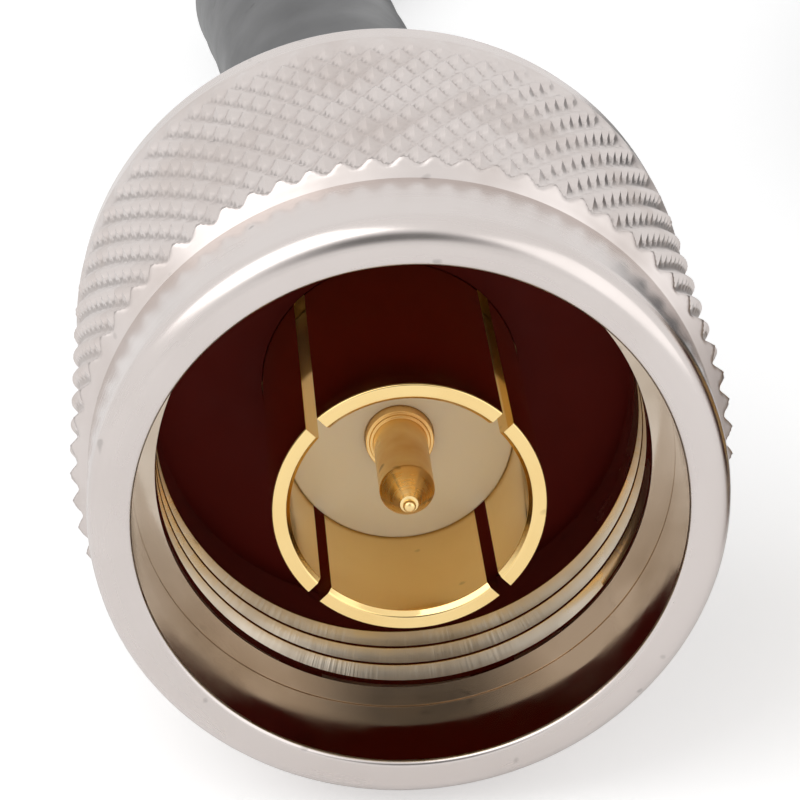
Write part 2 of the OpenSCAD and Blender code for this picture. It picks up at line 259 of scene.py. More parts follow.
class Nodes:
    """A short way to write a node tree. An input is given as a socket to link or as a plain value."""

    def __init__(self, tree: bpy.types.NodeTree) -> None:
        """Takes the tree to write in: a material's, the world's or a group's."""
        self.tree = tree

    def add(self, kind: str, **settings: object) -> bpy.types.Node:
        """Adds a node.

        Args:
            kind: The node's bl_idname.
            **settings: Its properties.

        Returns:
            The node.
        """
        node = self.tree.nodes.new(kind)
        for key, value in settings.items():
            setattr(node, key, value)
        return node

    def put(self, node: bpy.types.Node, inputs: dict[str | int, object]) -> bpy.types.NodeSocket | None:
        """Fills a node's inputs.

        Args:
            node: The node.
            inputs: Sockets or values by the input's name or number.

        Returns:
            The node's first output, if it has one.
        """
        for key, value in inputs.items():
            socket = node.inputs[key]
            if isinstance(value, bpy.types.NodeSocket):
                self.tree.links.new(value, socket)
            else:
                socket.default_value = value
        return node.outputs[0] if node.outputs else None

    def math(self, how: str, *values: object) -> bpy.types.NodeSocket:
        """Adds a Math node of one operation on its values, and gives the result."""
        return self.put(self.add("ShaderNodeMath", operation=how), dict(enumerate(values)))

    def join(self, *parts: object) -> bpy.types.NodeSocket:
        """Joins three numbers into a vector."""
        return self.put(self.add("ShaderNodeCombineXYZ"), dict(enumerate(parts)))

    def noise(self, vector: object, scale: float, detail: float, rough: float) -> bpy.types.NodeSocket:
        """Adds a Noise texture that is read at a vector, and gives its value, which is about 0.5."""
        settings = {"Vector": vector, "Scale": scale, "Detail": detail, "Roughness": rough}
        return self.put(self.add("ShaderNodeTexNoise"), settings)

    def mix(self, part: object, a: object, b: object) -> bpy.types.NodeSocket:
        """Mixes two colours.

        Args:
            part: How much of the second, from 0 to 1.
            a: The first colour.
            b: The second colour.

        Returns:
            The colour socket.
        """
        node = self.add("ShaderNodeMix", data_type="RGBA")
        self.put(node, {0: part, 6: a, 7: b})
        return node.outputs[2]

    def span(self, value: object, a: float, b: float, c: float, d: float) -> bpy.types.NodeSocket:
        """Maps a value from a..b to c..d and holds it there."""
        return self.put(self.add("ShaderNodeMapRange"), dict(enumerate((value, a, b, c, d))))


def new_group(
    name: str, inputs: dict[str, float], outputs: tuple[str, ...]
) -> tuple[Nodes, bpy.types.Node, bpy.types.Node]:
    """Starts a shader node group that is read at a vector.

    Args:
        name: The group's name.
        inputs: Names of its other inputs, with their default values.
        outputs: Names of its outputs, which are values.

    Returns:
        Its node writer, its input node and its output node.
    """
    tree = bpy.data.node_groups.new(name, "ShaderNodeTree")
    tree.interface.new_socket("Vector", in_out="INPUT", socket_type="NodeSocketVector")
    for key, value in inputs.items():
        socket = tree.interface.new_socket(key, in_out="INPUT", socket_type="NodeSocketFloat")
        socket.default_value = value
    for key in outputs:
        tree.interface.new_socket(key, in_out="OUTPUT", socket_type="NodeSocketFloat")
    n = Nodes(tree)
    return n, n.add("NodeGroupInput"), n.add("NodeGroupOutput")


def turning_group() -> bpy.types.NodeTree:
    """Lathe marks: noise read mostly along the turning axis, so that it draws fine rings, with patches of
    short bars across them, as a chattering tool leaves.

    Returns:
        A group with a Vector input centred on the axis, and a Height output.
    """
    n, start, end = new_group("turning marks", {"Rings": 2500.0, "Chatter": 0.0}, ("Height",))
    ring_bend, bars_round, bars_along, patch_scale, patch_edge = 0.35, 60.0, 300.0, 260.0, (0.42, 0.58)
    split = n.add("ShaderNodeSeparateXYZ")
    n.put(split, {0: start.outputs["Vector"]})
    x, y, z = split.outputs
    radius = n.math("SQRT", n.math("ADD", n.math("MULTIPLY", x, x), n.math("MULTIPLY", z, z)))
    angle = n.math("ARCTAN2", z, x)
    cosine, sine = n.math("COSINE", angle), n.math("SINE", angle)
    ring_place = n.join(
        n.math("MULTIPLY", n.math("ADD", radius, y), start.outputs["Rings"]),
        n.math("MULTIPLY", cosine, ring_bend),
        n.math("MULTIPLY", sine, ring_bend),
    )
    bar_place = n.join(
        n.math("MULTIPLY", cosine, bars_round),
        n.math("MULTIPLY", sine, bars_round),
        n.math("MULTIPLY", y, bars_along),
    )
    patches = n.span(n.noise(start.outputs["Vector"], patch_scale, 3.0, 0.6), *patch_edge, 0.0, 1.0)
    bars = n.math("MULTIPLY", n.noise(bar_place, 1.0, 2.0, 0.5), patches)
    rings = n.noise(ring_place, 1.0, 4.0, 0.65)
    n.put(end, {"Height": n.math("ADD", rings, n.math("MULTIPLY", bars, start.outputs["Chatter"]))})
    return n.tree


def smudge_group() -> bpy.types.NodeTree:
    """Handling marks: two layers of noise that give soft smudges and a few sharp small specks.

    Returns:
        A group with a Vector input, and Smudge and Speck outputs from 0 to 1.
    """
    n, start, end = new_group("handling marks", {}, ("Smudge", "Speck"))
    smudge_scale, smudge_edge, speck_scale, speck_edge = 300.0, (0.42, 0.7), 1400.0, (0.74, 0.79)
    vector = start.outputs["Vector"]
    smudge = n.span(n.noise(vector, smudge_scale, 4.0, 0.5), *smudge_edge, 0.0, 1.0)
    speck = n.span(n.noise(vector, speck_scale, 1.0, 0.5), *speck_edge, 0.0, 1.0)
    n.put(end, {"Smudge": smudge, "Speck": speck})
    return n.tree


# The shared groups by name, filled by main
GROUPS: dict[str, bpy.types.NodeTree] = {}

class Surface(Nodes):
    """The node tree of one material, whose marks are read in a plug's own axes from its reference point."""

    def __init__(self, name: str, where: Placement) -> None:
        """Starts a material with a Principled shader.

        Args:
            name: The material's name.
            where: Where the plug lies.
        """
        self.material = bpy.data.materials.new(name)
        self.material.use_nodes = True
        super().__init__(self.material.node_tree)
        self.tree.nodes.clear()
        self.shader = self.add("ShaderNodeBsdfPrincipled")
        self.put(self.add("ShaderNodeOutputMaterial"), {"Surface": self.shader.outputs[0]})
        coords = self.add("ShaderNodeTexCoord").outputs["Object"]
        turn = (0.0, 0.0, where.turn)
        back = self.add("ShaderNodeMapping", vector_type="TEXTURE")
        self.vector = self.put(back, {"Vector": coords, "Location": where.origin, "Rotation": turn})

    def group(self, name: str, **values: float) -> bpy.types.Node:
        """Places a shared node group and sets its values.

        Args:
            name: The group's name in GROUPS.
            **values: Its inputs beside the vector.

        Returns:
            The group's node.
        """
        node = self.add("ShaderNodeGroup", node_tree=GROUPS[name])
        self.put(node, {"Vector": self.vector, **values})
        return node

    def bump(self, height: bpy.types.NodeSocket, strength: float, reach: float) -> None:
        """Bumps the shader by a height socket, with a strength and a reach in metres."""
        settings = {"Height": height, "Strength": strength, "Distance": reach}
        self.put(self.shader, {"Normal": self.put(self.add("ShaderNodeBump"), settings)})


Colour = tuple[float, float, float]


@dataclass(frozen=True)
class Finish:
    """What every finish has: a name, the slot of the record that it belongs to, a colour, a second colour
    for its smudges, its roughness, and how strong its smudges and specks are. The specks' shade is their
    brightness as a part of the second colour."""

    name: str
    slot: str
    colour: Colour
    second: Colour
    rough: float
    smudge: float = 0.3
    speck: float = 0.0
    speck_shade: float = 0.2

    def make(self, where: Placement) -> bpy.types.Material:
        """Builds the material for a plug that lies at a place; each kind of finish has its own way."""
        raise NotImplementedError

    def worn(self, n: Surface) -> tuple[bpy.types.NodeSocket, bpy.types.NodeSocket]:
        """Mixes the colour with its smudges and specks.

        Args:
            n: The surface.

        Returns:
            The colour, and the smudges' strength.
        """
        wear = n.group("handling")
        smudged = n.math("MULTIPLY", wear.outputs["Smudge"], self.smudge)
        colour = n.mix(smudged, (*self.colour, 1), (*self.second, 1))
        dark = tuple(self.speck_shade * c for c in self.second)
        return n.mix(n.math("MULTIPLY", wear.outputs["Speck"], self.speck), colour, (*dark, 1)), smudged


@dataclass(frozen=True)
class PlatedMetal(Finish):
    """Plated and turned metal: a base colour with faint rings, smudges and specks."""

    rings: float = 2500.0
    ring_bump: float = 0.06
    ring_height: float = 0.00002
    smudge: float = 0.25
    speck: float = 0.3
    speck_shade: float = 0.25
    chatter: float = 0.0
    rough_spread: tuple[float, float] = (0.8, 1.25)
    smudge_rough: float = 0.3

    def make(self, where: Placement) -> bpy.types.Material:
        """Builds the metal, whose rings show in its roughness and bump.

        Args:
            where: Where the plug lies.

        Returns:
            The material.
        """
        n = Surface(self.name, where)
        marks = n.group("turning", Rings=self.rings, Chatter=self.chatter).outputs["Height"]
        colour, smudged = self.worn(n)
        ringed = n.span(marks, *MARK_SPAN, *(self.rough * part for part in self.rough_spread))
        rough = n.math("ADD", ringed, n.math("MULTIPLY", smudged, self.smudge_rough))
        n.put(n.shader, {"Base Color": colour, "Roughness": rough, "Metallic": 1.0})
        n.bump(marks, self.ring_bump, self.ring_height)
        return n.material


@dataclass(frozen=True)
class Moulded(Finish):
    """Plastic, rubber or resin: a base colour with soft mottling and a fine skin."""

    grain: float = 900.0
    grain_bump: float = 0.1
    grain_height: float = 0.00004
    glow: float = 0.0
    glow_reach: tuple[float, float, float] = (0.0012, 0.001, 0.0008)
    shine: float = 0.5
    rough_spread: tuple[float, float] = (0.85, 1.15)

    def make(self, where: Placement) -> bpy.types.Material:
        """Builds the material, whose skin shows in its roughness and bump.

        Args:
            where: Where the piece's plug lies.

        Returns:
            The material.
        """
        n = Surface(self.name, where)
        colour, _ = self.worn(n)
        skin = n.noise(n.vector, self.grain, 4.0, 0.55)
        rough = n.span(skin, *MARK_SPAN, *(self.rough * part for part in self.rough_spread))
        n.put(n.shader, {"Base Color": colour, "Roughness": rough, "Specular IOR Level": self.shine})
        n.bump(skin, self.grain_bump, self.grain_height)
        if self.glow > 0.0:
            glow = {"Subsurface Weight": self.glow, "Subsurface Radius": self.glow_reach}
            n.put(n.shader, {**glow, "Subsurface Scale": 1.0})
        return n.material


NICKEL = PlatedMetal("nickel plate", "nickel_plate", (0.68, 0.622, 0.596), (0.58, 0.52, 0.49), 0.22)
KNURLED = PlatedMetal(
    "knurled nickel", "nickel_plate", (0.68, 0.622, 0.596), (0.56, 0.50, 0.47), 0.34, smudge=0.7
)
BORE = PlatedMetal(
    "bored nickel", "nickel_plate", (0.58, 0.49, 0.40), (0.42, 0.33, 0.24), 0.08,
    ring_bump=0.04, smudge=0.6,
)
THREADED = PlatedMetal(
    "threaded nickel", "nickel_plate", (0.58, 0.51, 0.42), (0.44, 0.35, 0.25), 0.24,
    rings=5000.0, ring_bump=0.25, smudge=0.5, chatter=5.0,
)
GOLD = PlatedMetal(
    "gold plate", "gold_plate", (0.94, 0.70, 0.32), (0.84, 0.54, 0.19), 0.08, ring_bump=0.03, smudge=0.35
)
PIN_GOLD = PlatedMetal(
    "pin's gold plate", "gold_plate", (0.97, 0.74, 0.36), (0.70, 0.36, 0.11), 0.26,
    rings=4000.0, ring_bump=0.08, smudge=0.8, speck=0.5,
)
STEEL = PlatedMetal("spring steel", "spring_steel", (0.60, 0.59, 0.57), (0.5, 0.47, 0.44), 0.3)
BRAID = PlatedMetal("tinned braid", "tinned_braid", (0.66, 0.65, 0.62), (0.5, 0.48, 0.45), 0.4, ring_bump=0.3)
COPPER = PlatedMetal("copper wire", "copper_wire", (0.80, 0.45, 0.30), (0.6, 0.3, 0.18), 0.25)
PTFE = Moulded(
    "white resin", "ptfe", (0.95, 0.85, 0.68), (0.92, 0.79, 0.58), 0.35, glow=0.3, grain_bump=0.05
)
SILICONE = Moulded("silicone rubber", "silicone", (0.16, 0.013, 0.008), (0.11, 0.009, 0.005), 0.5, shine=0.1)
FOAM = Moulded("foam core", "foam", (0.88, 0.87, 0.84), (0.8, 0.79, 0.75), 0.6, grain_bump=0.3)
SHRINK = Moulded(
    "shrunk sleeve", "heat_shrink_grey", (0.086, 0.086, 0.088), (0.048, 0.048, 0.05), 0.38,
    grain=500.0, grain_bump=0.25, smudge=0.7, speck=0.5,
)
JACKET = Moulded(
    "cable jacket", "jacket_grey", (0.13, 0.13, 0.135), (0.10, 0.10, 0.103), 0.45, grain_bump=0.15
)
STRAP = Moulded(
    "rubber strap", "strap_black", (0.02, 0.02, 0.02), (0.035, 0.035, 0.035), 0.6, grain_bump=0.5
)


# ---- The cable ----


@dataclass
class Cable:
    """The jacketed cable from the near plug through its coil to the far plug. The coil steps in, up and
    out again between the places counted in turns."""

    diameter: float = 6.1
    sides: int = 32
    samples: int = 5
    crease: float = 40.0
    coil_centre: tuple[float, float] = (61.4, 53.4)
    turn_radius: float = 32.5
    turn_pitch: float = 6.2
    low_z: float = -6.64
    turns: float = 3.25
    steps_a_turn: int = 60
    step_in: tuple[float, float] = (0.78, 0.98)
    step_up: tuple[float, float] = (1.58, 1.78)
    step_out: tuple[float, float] = (2.35, 2.58)
    near_route: list[tuple[float, float, float]] = field(
        default_factory=lambda: [
            (0, 24, 0), (0, 28, 0), (-0.2, 31, 0), (-0.6, 34, 0), (-1.1, 38, 0), (-1.8, 44, -0.2),
            (-2.4, 50, -0.8), (-2.8, 56, -2), (-2.9, 61, -3.3), (-2, 66, -4.5), (-0.2, 71.5, -5.7),
            (2.8, 76.7, -6.4), (7, 81.4, -6.6), (12, 85, -6.6), (17.8, 87.5, -6.6), (24, 88.8, -6.6),
            (31, 89, -6.6), (41, 89, -6.6), (51, 89, -6.6), (61.4, 89, -6.6),
        ]
    )
    far_route: list[tuple[float, float, float]] = field(
        default_factory=lambda: [
            (45, 9.6, 0), (53, 9.6, 0), (60, 9.6, -0.1), (67, 9.7, -0.4), (74.5, 10.6, -1.2),
            (81.6, 13.4, -2.1), (88, 18.3, -2.8), (92.9, 24.4, -2.7), (96, 31.8, -2.1), (97, 40, -1.1),
            (97, 47, -0.6), (97, 53.4, -0.4),
        ]
    )

    def coil(self) -> np.ndarray:
        """The coil's turns, clockwise seen from above: a circle whose radius steps in by one pitch after
        the outer low turn, whose height steps up by one pitch after the inner low turn, and whose radius
        steps out again after the inner high turn.

        Returns:
            Points in millimetres, without the two ends that the routes already have.
        """
        t = np.arange(1, int(self.turns * self.steps_a_turn)) / self.steps_a_turn
        outwards = 0.5 - eased(t, *self.step_in) + eased(t, *self.step_out)
        radius = self.turn_radius + self.turn_pitch * outwards
        angle = 0.5 * math.pi - TAU * t
        cx, cy = self.coil_centre
        z = self.low_z + self.turn_pitch * eased(t, *self.step_up)
        return np.stack([cx + radius * np.cos(angle), cy + radius * np.sin(angle), z], -1)

    def path(self) -> np.ndarray:
        """The whole centreline.

        Returns:
            Its points in metres.
        """
        near = smooth_path(np.array(self.near_route, float), self.samples)
        far = smooth_path(np.array(self.far_route, float), self.samples)[::-1]
        return np.vstack([near, self.coil(), far]) * MM

    def build(self) -> bpy.types.Object:
        """Sweeps the jacket along the path and closes its ends.

        Returns:
            The cable.
        """
        path = self.path()
        cols = self.sides
        rings = swept(path, np.full((len(path), cols), 0.5 * self.diameter * MM))
        faces = grid_faces(len(path), cols, False, True).tolist()
        faces.append(list(range(cols)))
        faces.append(list(range((len(path) - 1) * cols, len(path) * cols)))
        piece = make_mesh("cable_jacket", rings, faces, self.crease)
        piece.data.materials.append(JACKET.make(HERE))
        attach(piece, "root")
        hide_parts("cable_lead_near", "cable_coil", "cable_lead_far")
        return piece


# ---- The plug ----


class Piece:
    """One piece of a plug; its sizes are its fields."""

    def build(self, name: str, place: Placement) -> bpy.types.Object:
        """Builds the piece of a plug that lies at a place, without its materials."""
        raise NotImplementedError


class NutSlot(IntEnum):
    """The nut's material slots."""

    OUTSIDE = 0
    BORED = 1
    CUT = 2
    KNURLED = 3


@dataclass
class Nut(Piece):
    """The coupling nut: one turned piece with a diamond knurl outside and the thread inside.

    Places along it are s of the plug. The thread's run-in and run-out are places on its helix, in
    turns. The rise and depth tables give one number at each part of a diamond or of a pitch, and
    row_at says where in a pitch the mesh has its rows.
    """

    mouth: float = -0.9
    rear: float = 14.1
    rear_fillets: tuple[float, float] = (0.08, 0.22)
    collar_r: float = 9.45
    collar_fillet: float = 0.75
    step: float = 2.5
    step_gap: float = 0.02
    band: float = 13.0
    band_r: float = 9.85
    crest_r: float = 10.0
    groove_depth: float = 0.28
    front_slope: float = 1.2
    front_reach: float = 0.5
    front_rows: int = 11
    tooth: float = 0.33
    diamonds: int = 68
    diamond_rows: float = 6.5
    cells: int = 8
    rise_at: tuple[float, ...] = (0.0, 0.04, 0.40, 0.5)
    rise: tuple[float, ...] = (0.0, 0.02, 0.93, 1.0)
    knurl_fade: float = 0.9
    knurl_sink: float = 0.08
    mouth_r: float = 8.15
    mouth_fillet: float = 0.16
    shoulder: float = 2.4
    shoulder_fillet: float = 0.06
    minor_r: float = 7.43
    major_r: float = 7.94
    pitch: float = 25.4 / 24
    thread_end: float = 7.8
    lead_r: float = 7.46
    lead_slope: float = 0.22
    grooves: int = 5
    run_in: tuple[float, float] = (0.0, 0.15)
    run_out: tuple[float, float] = (2.6, 3.1)
    depth_at: tuple[float, ...] = (0.0, 0.1, 0.14, 0.42, 0.72, 0.98, 1.0)
    depth: tuple[float, ...] = (0.0, 0.0, 0.04, 1.0, 1.0, 0.04, 0.0)
    row_at: tuple[float, ...] = (0.0, 0.05, 0.1, 0.14, 0.28, 0.42, 0.57, 0.72, 0.85, 0.98)
    crease: float = 50.0
    relief_r: float = 8.1
    relief_end: float = 11.25
    bore_r: float = 7.05
    ring_groove: tuple[float, float, float] = (11.75, 12.95, 7.75)

    def knurl(self, u: np.ndarray, v: np.ndarray) -> np.ndarray:
        """Height of the knurl, from 0 in a groove to 1 on a blunt point.

        Two families of grooves run along u + v = n + 1/2 and u - v = n + 1/2. A side rises evenly from its
        groove and is blunted at the top, and the lower of the two families gives the height.

        Args:
            u: Place round the nut, in diamonds.
            v: Place along the nut, in diamonds.

        Returns:
            The height, with the shape of u and v together.
        """
        families = (np.abs((w % 1.0) - 0.5) for w in (u + v, u - v))
        return np.minimum(*(np.interp(away, self.rise_at, self.rise) for away in families))

    def thread(self, turns: np.ndarray) -> np.ndarray:
        """Depth of the thread by the part of a pitch: a tenth is crest, the depth then grows evenly to the
        root, which is three tenths wide, and it comes back evenly, with an eased edge beside the crest.

        Args:
            turns: Position along the helix's normal, in pitches.

        Returns:
            The depth, from 0 on the crest to 1 on the root.
        """
        return np.interp(turns % 1.0, self.depth_at, self.depth)

    def rows(self, cols: int) -> tuple[np.ndarray, np.ndarray]:
        """Radius and s of every point of the nut, one column past the full turn.

        Args:
            cols: Columns in one turn.

        Returns:
            Two arrays of shape (rows, cols + 1).
        """
        turn = np.arange(cols + 1) / cols
        flat = np.ones(cols + 1)
        radius: list[np.ndarray] = []
        along: list[np.ndarray] = []

        def lay(points: np.ndarray) -> None:
            """Adds plain rings.

            Args:
                points: Their radii and places, shape (n, 2).
            """
            for r, s in points:
                radius.append(r * flat)
                along.append(s * flat)

        bore, face, groove = self.bore_r, self.mouth, self.ring_groove
        lay(rounded([
            (bore, self.rear, self.rear_fillets[0]), (self.band_r, self.rear, self.rear_fillets[1]),
            (self.band_r, self.band, 0)], 4))
        # The knurl, from its run-out to the step, with closer rows on its slanted front end
        length = self.band - self.step
        count = int(self.diamond_rows * self.cells)
        even = np.arange(count + 1) / count * length
        front = np.linspace(0.0, self.front_reach, self.front_rows)
        for s in np.unique(np.round(np.concatenate([even, front]), 4))[::-1]:
            height = self.knurl(turn * self.diamonds, (s - self.tooth) / length * self.diamond_rows * flat)
            full = float(np.clip((length - s) / self.knurl_fade, 0.0, 1.0))
            sink = self.groove_depth * (1.0 - height) * full + self.knurl_sink * (1.0 - full)
            radius.append(np.minimum(self.crest_r - sink, self.collar_r + self.front_slope * s))
            along.append((self.step + s - (self.step_gap if s == length else 0.0)) * flat)
        lay(rounded([
            (self.collar_r, self.step, 0), (self.collar_r, face, self.collar_fillet),
            (self.mouth_r, face, self.mouth_fillet), (self.mouth_r, self.shoulder, self.shoulder_fillet)], 5))
        # The right-hand thread: rows follow the helix, and those past either end gather on its face. A cone
        # at its start takes the first crest away, and behind its last turn the bore is plain
        for k in range(-1, self.grooves):
            for part in self.row_at:
                s = np.clip(self.shoulder + (k + part - turn) * self.pitch, self.shoulder, self.thread_end)
                depth = self.thread((s - self.shoulder) / self.pitch + turn)
                depth = depth * np.interp(k - turn, self.run_in + self.run_out, (0.0, 1.0, 1.0, 0.0))
                cone = self.lead_r - self.lead_slope * (s - self.shoulder)
                radius.append(np.maximum(self.minor_r + (self.major_r - self.minor_r) * depth, cone))
                along.append(s)
        lay(np.array([
            (self.minor_r, self.thread_end), (self.relief_r, self.thread_end),
            (self.relief_r, self.relief_end), (bore, self.relief_end), (bore, groove[0]),
            (groove[2], groove[0]), (groove[2], groove[1]), (bore, groove[1])]))
        return np.array(radius), np.array(along)

    def slots(self, piece: bpy.types.Object, place: Placement) -> np.ndarray:
        """Sorts the nut's faces by how they are finished, from where their middles lie.

        Args:
            piece: The nut.
            place: Where the plug lies.

        Returns:
            The material slot of each face.
        """
        middles = np.empty(3 * len(piece.data.polygons))
        piece.data.polygons.foreach_get("center", middles)
        away = middles.reshape(-1, 3) - np.array(place.origin)
        c, s = math.cos(place.turn), math.sin(place.turn)
        r = np.hypot(away @ np.array([c, s, 0.0]), away[:, 2]) / MM
        along = away @ np.array([-s, c, 0.0]) / MM
        wall_slack, face_slack, crest_slack = 0.02, 0.03, 0.012
        in_bore = r < self.mouth_r + wall_slack
        cut = (along > self.shoulder + face_slack) & (along < self.thread_end)
        cut &= r > self.minor_r + crest_slack
        edge = along < self.mouth + self.mouth_fillet
        slots = np.where(in_bore, NutSlot.BORED, NutSlot.OUTSIDE)
        slots[in_bore & (cut | edge)] = NutSlot.CUT
        slots[(r > self.collar_r) & (along > self.step) & (along < self.band)] = NutSlot.KNURLED
        return slots.astype(np.int32)

    def build(self, name: str, place: Placement) -> bpy.types.Object:
        """Builds the nut as one closed mesh, whose faces are sorted into material slots.

        Args:
            name: The piece's name.
            place: Where the plug lies.

        Returns:
            The nut.
        """
        cols = self.diamonds * self.cells
        r, s = self.rows(cols)
        angle = np.arange(cols + 1) * TAU / cols
        faces = grid_faces(len(r), cols + 1, True, False)
        piece = make_mesh(name, place.world(revolved(r, s, angle)), faces, self.crease, SEAM_WELD)
        piece.data.polygons.foreach_set("material_index", self.slots(piece, place))
        return piece


@dataclass
class Sleeve(Piece):
    """The slotted outer contact: four fingers with a rounded rim, on a ring."""

    outer_r: float = 4.05
    inner_r: float = 3.51
    rim: tuple[float, float] = (0.14, 0.18)
    rim_fillets: tuple[float, float, float] = (0.05, 0.1, 0.06)
    fingers: int = 4
    slot: float = 0.46
    slot_end: float = 9.2
    end: float = 13.75
    collar_r: float = 4.25
    collar: tuple[float, float] = (8.75, 10.75)
    root_r: float = 4.6
    columns: int = 40
    ring_columns: int = 160
    crease: float = 38.0

    def finger(self, number: int) -> np.ndarray:
        """One finger: a profile carried round the axis between two slots with straight sides, so the
        angle of a point's edge is asin(half the slot over its radius) away from the slot's middle.

        Args:
            number: Which quarter, 0 to 3.

        Returns:
            Points of shape (rows, columns, 3) in millimetres.
        """
        edge = rounded([
            (self.inner_r, self.slot_end, 0), (self.inner_r, self.rim[1], self.rim_fillets[0]),
            (self.inner_r + self.rim[0], 0, self.rim_fillets[1]), (self.outer_r, 0, self.rim_fillets[2]),
            (self.outer_r, self.slot_end, 0)], 5)
        r, s = edge[:, :1], edge[:, 1:]
        half = np.arcsin(0.5 * self.slot / r)
        w = np.linspace(0.0, 1.0, self.columns)[None, :]
        angle = (0.5 + number) * TAU / self.fingers + half + w * (TAU / self.fingers - 2 * half)
        return revolved(r, s, angle)

    def build(self, name: str, place: Placement) -> bpy.types.Object:
        """Builds the contact from its four fingers and the ring that carries them.

        Args:
            name: The piece's name.
            place: Where the plug lies.

        Returns:
            The contact.
        """
        points: list[np.ndarray] = []
        faces: list[list[int]] = []
        for number in range(self.fingers):
            grid = self.finger(number)
            rows, cols = grid.shape[:2]
            base = number * rows * cols
            points.append(grid.reshape(-1, 3))
            faces += (grid_faces(rows, cols, True, False) + base).tolist()
            faces.append([base + i * cols for i in range(rows)])
            faces.append([base + i * cols + cols - 1 for i in range(rows - 1, -1, -1)])
        ring = np.array([
            (self.inner_r, self.slot_end), (self.collar_r, self.slot_end),
            (self.collar_r, self.collar[1]), (self.root_r, self.collar[1]), (self.root_r, self.end),
            (self.inner_r, self.end)])
        cols = self.ring_columns
        angle = np.arange(cols) * TAU / cols
        base = sum(len(p) for p in points)
        points.append(revolved(ring[:, :1], ring[:, 1:], angle).reshape(-1, 3))
        faces += (grid_faces(len(ring), cols, True, True) + base).tolist()
        return make_mesh(name, place.world(np.vstack(points)), faces, self.crease)


@dataclass
class Shrink(Piece):
    """The heat-shrink sleeve, which follows neck, hexagon crimp and ferrule, and then the cable.

    Each step between them is eased over the stretch given for it. The tail is its route behind the
    ferrule, in millimetres from the reference point.
    """

    tail: list[tuple[float, float, float]]
    wall: float = 0.5
    front: float = 17.1
    straight: tuple[float, ...] = (17.1, 19.0, 21.0, 23.0, 25.0, 27.0, 28.5)
    samples: int = 6
    columns: int = 96
    ferrule_r: float = 3.78
    cable_r: float = 3.12
    crimp_flat: float = 3.25
    crimp_round: float = 3.5
    crimp_share: float = 0.55
    crimp_base: float = 3.68
    crimp_start: tuple[float, float] = (18.2, 19.0)
    crimp_end: tuple[float, float] = (22.6, 23.8)
    drop: tuple[float, float] = (27.9, 30.0)
    ripple: float = 0.02
    ripple_waves: float = 2.1
    ripple_twist: float = 3.0
    ripple_start: tuple[float, float] = (29.0, 31.0)
    edge: float = 0.1
    edge_front: float = 0.3
    edge_rear: float = 0.25
    most_r: float = 4.4
    crease: float = 50.0

    def build(self, name: str, place: Placement) -> bpy.types.Object:
        """Builds the sleeve.

        Over the crimp the inner radius is that of a hexagon, its flat's distance over the cosine of the
        angle from the flat's middle, blended with a circle where the sleeve bridges the corners. The
        outer radius is the wall more, with a faint ripple over the cable and thinner ends.

        Args:
            name: The piece's name.
            place: Where the plug lies.

        Returns:
            The sleeve.
        """
        route = np.array([(0.0, s, 0.0) for s in self.straight] + self.tail, float)
        path = smooth_path(route, self.samples)
        s = path[:, 1:2]
        angle = np.arange(self.columns)[None, :] * TAU / self.columns
        fold = (angle + TAU / 12) % (TAU / 6) - TAU / 12
        share = self.crimp_share
        hexagon = share * self.crimp_flat / np.cos(fold) + (1.0 - share) * self.crimp_round
        on_crimp = eased(s, *self.crimp_start) * (1.0 - eased(s, *self.crimp_end))
        crimped = self.ferrule_r + (hexagon - self.crimp_base) * on_crimp
        inner = crimped + (self.cable_r - self.ferrule_r) * eased(s, *self.drop)
        waves = np.sin(s * self.ripple_waves + self.ripple_twist * np.sin(angle))
        waves = waves * eased(s, *self.ripple_start)
        ends = np.clip((path[-1, 1] - s) / self.edge_rear, 0.0, 1.0)
        ends = ends + np.clip((s - self.front) / self.edge_front, 0.0, 1.0) - 2.0
        outer = np.minimum(inner + self.wall + self.ripple * waves + self.edge * ends, self.most_r)
        rings = np.vstack([swept(path, outer), swept(path, inner)[::-1]])
        faces = grid_faces(len(rings), self.columns, True, True)
        return make_mesh(name, place.world(rings), faces, self.crease)


@dataclass
class TurnedPiece(Piece):
    """A piece turned from one profile, which each kind of piece gives."""

    columns: int = 192
    crease: float = 38.0

    def profile(self) -> np.ndarray:
        """The points (radius, s) in millimetres, closed unless they start and end on the axis."""
        raise NotImplementedError

    def build(self, name: str, place: Placement) -> bpy.types.Object:
        """Revolves the profile about the plug's axis.

        Args:
            name: The piece's name.
            place: Where the plug lies.

        Returns:
            The piece.
        """
        profile = self.profile()
        closed = bool(profile[0, 0] > 0.0)
        grid = revolved(profile[:, :1], profile[:, 1:], np.arange(self.columns) * TAU / self.columns)
        faces = grid_faces(len(profile), self.columns, closed, True)
        return make_mesh(name, place.world(grid), faces, self.crease, 0.0 if closed else AXIS_WELD)


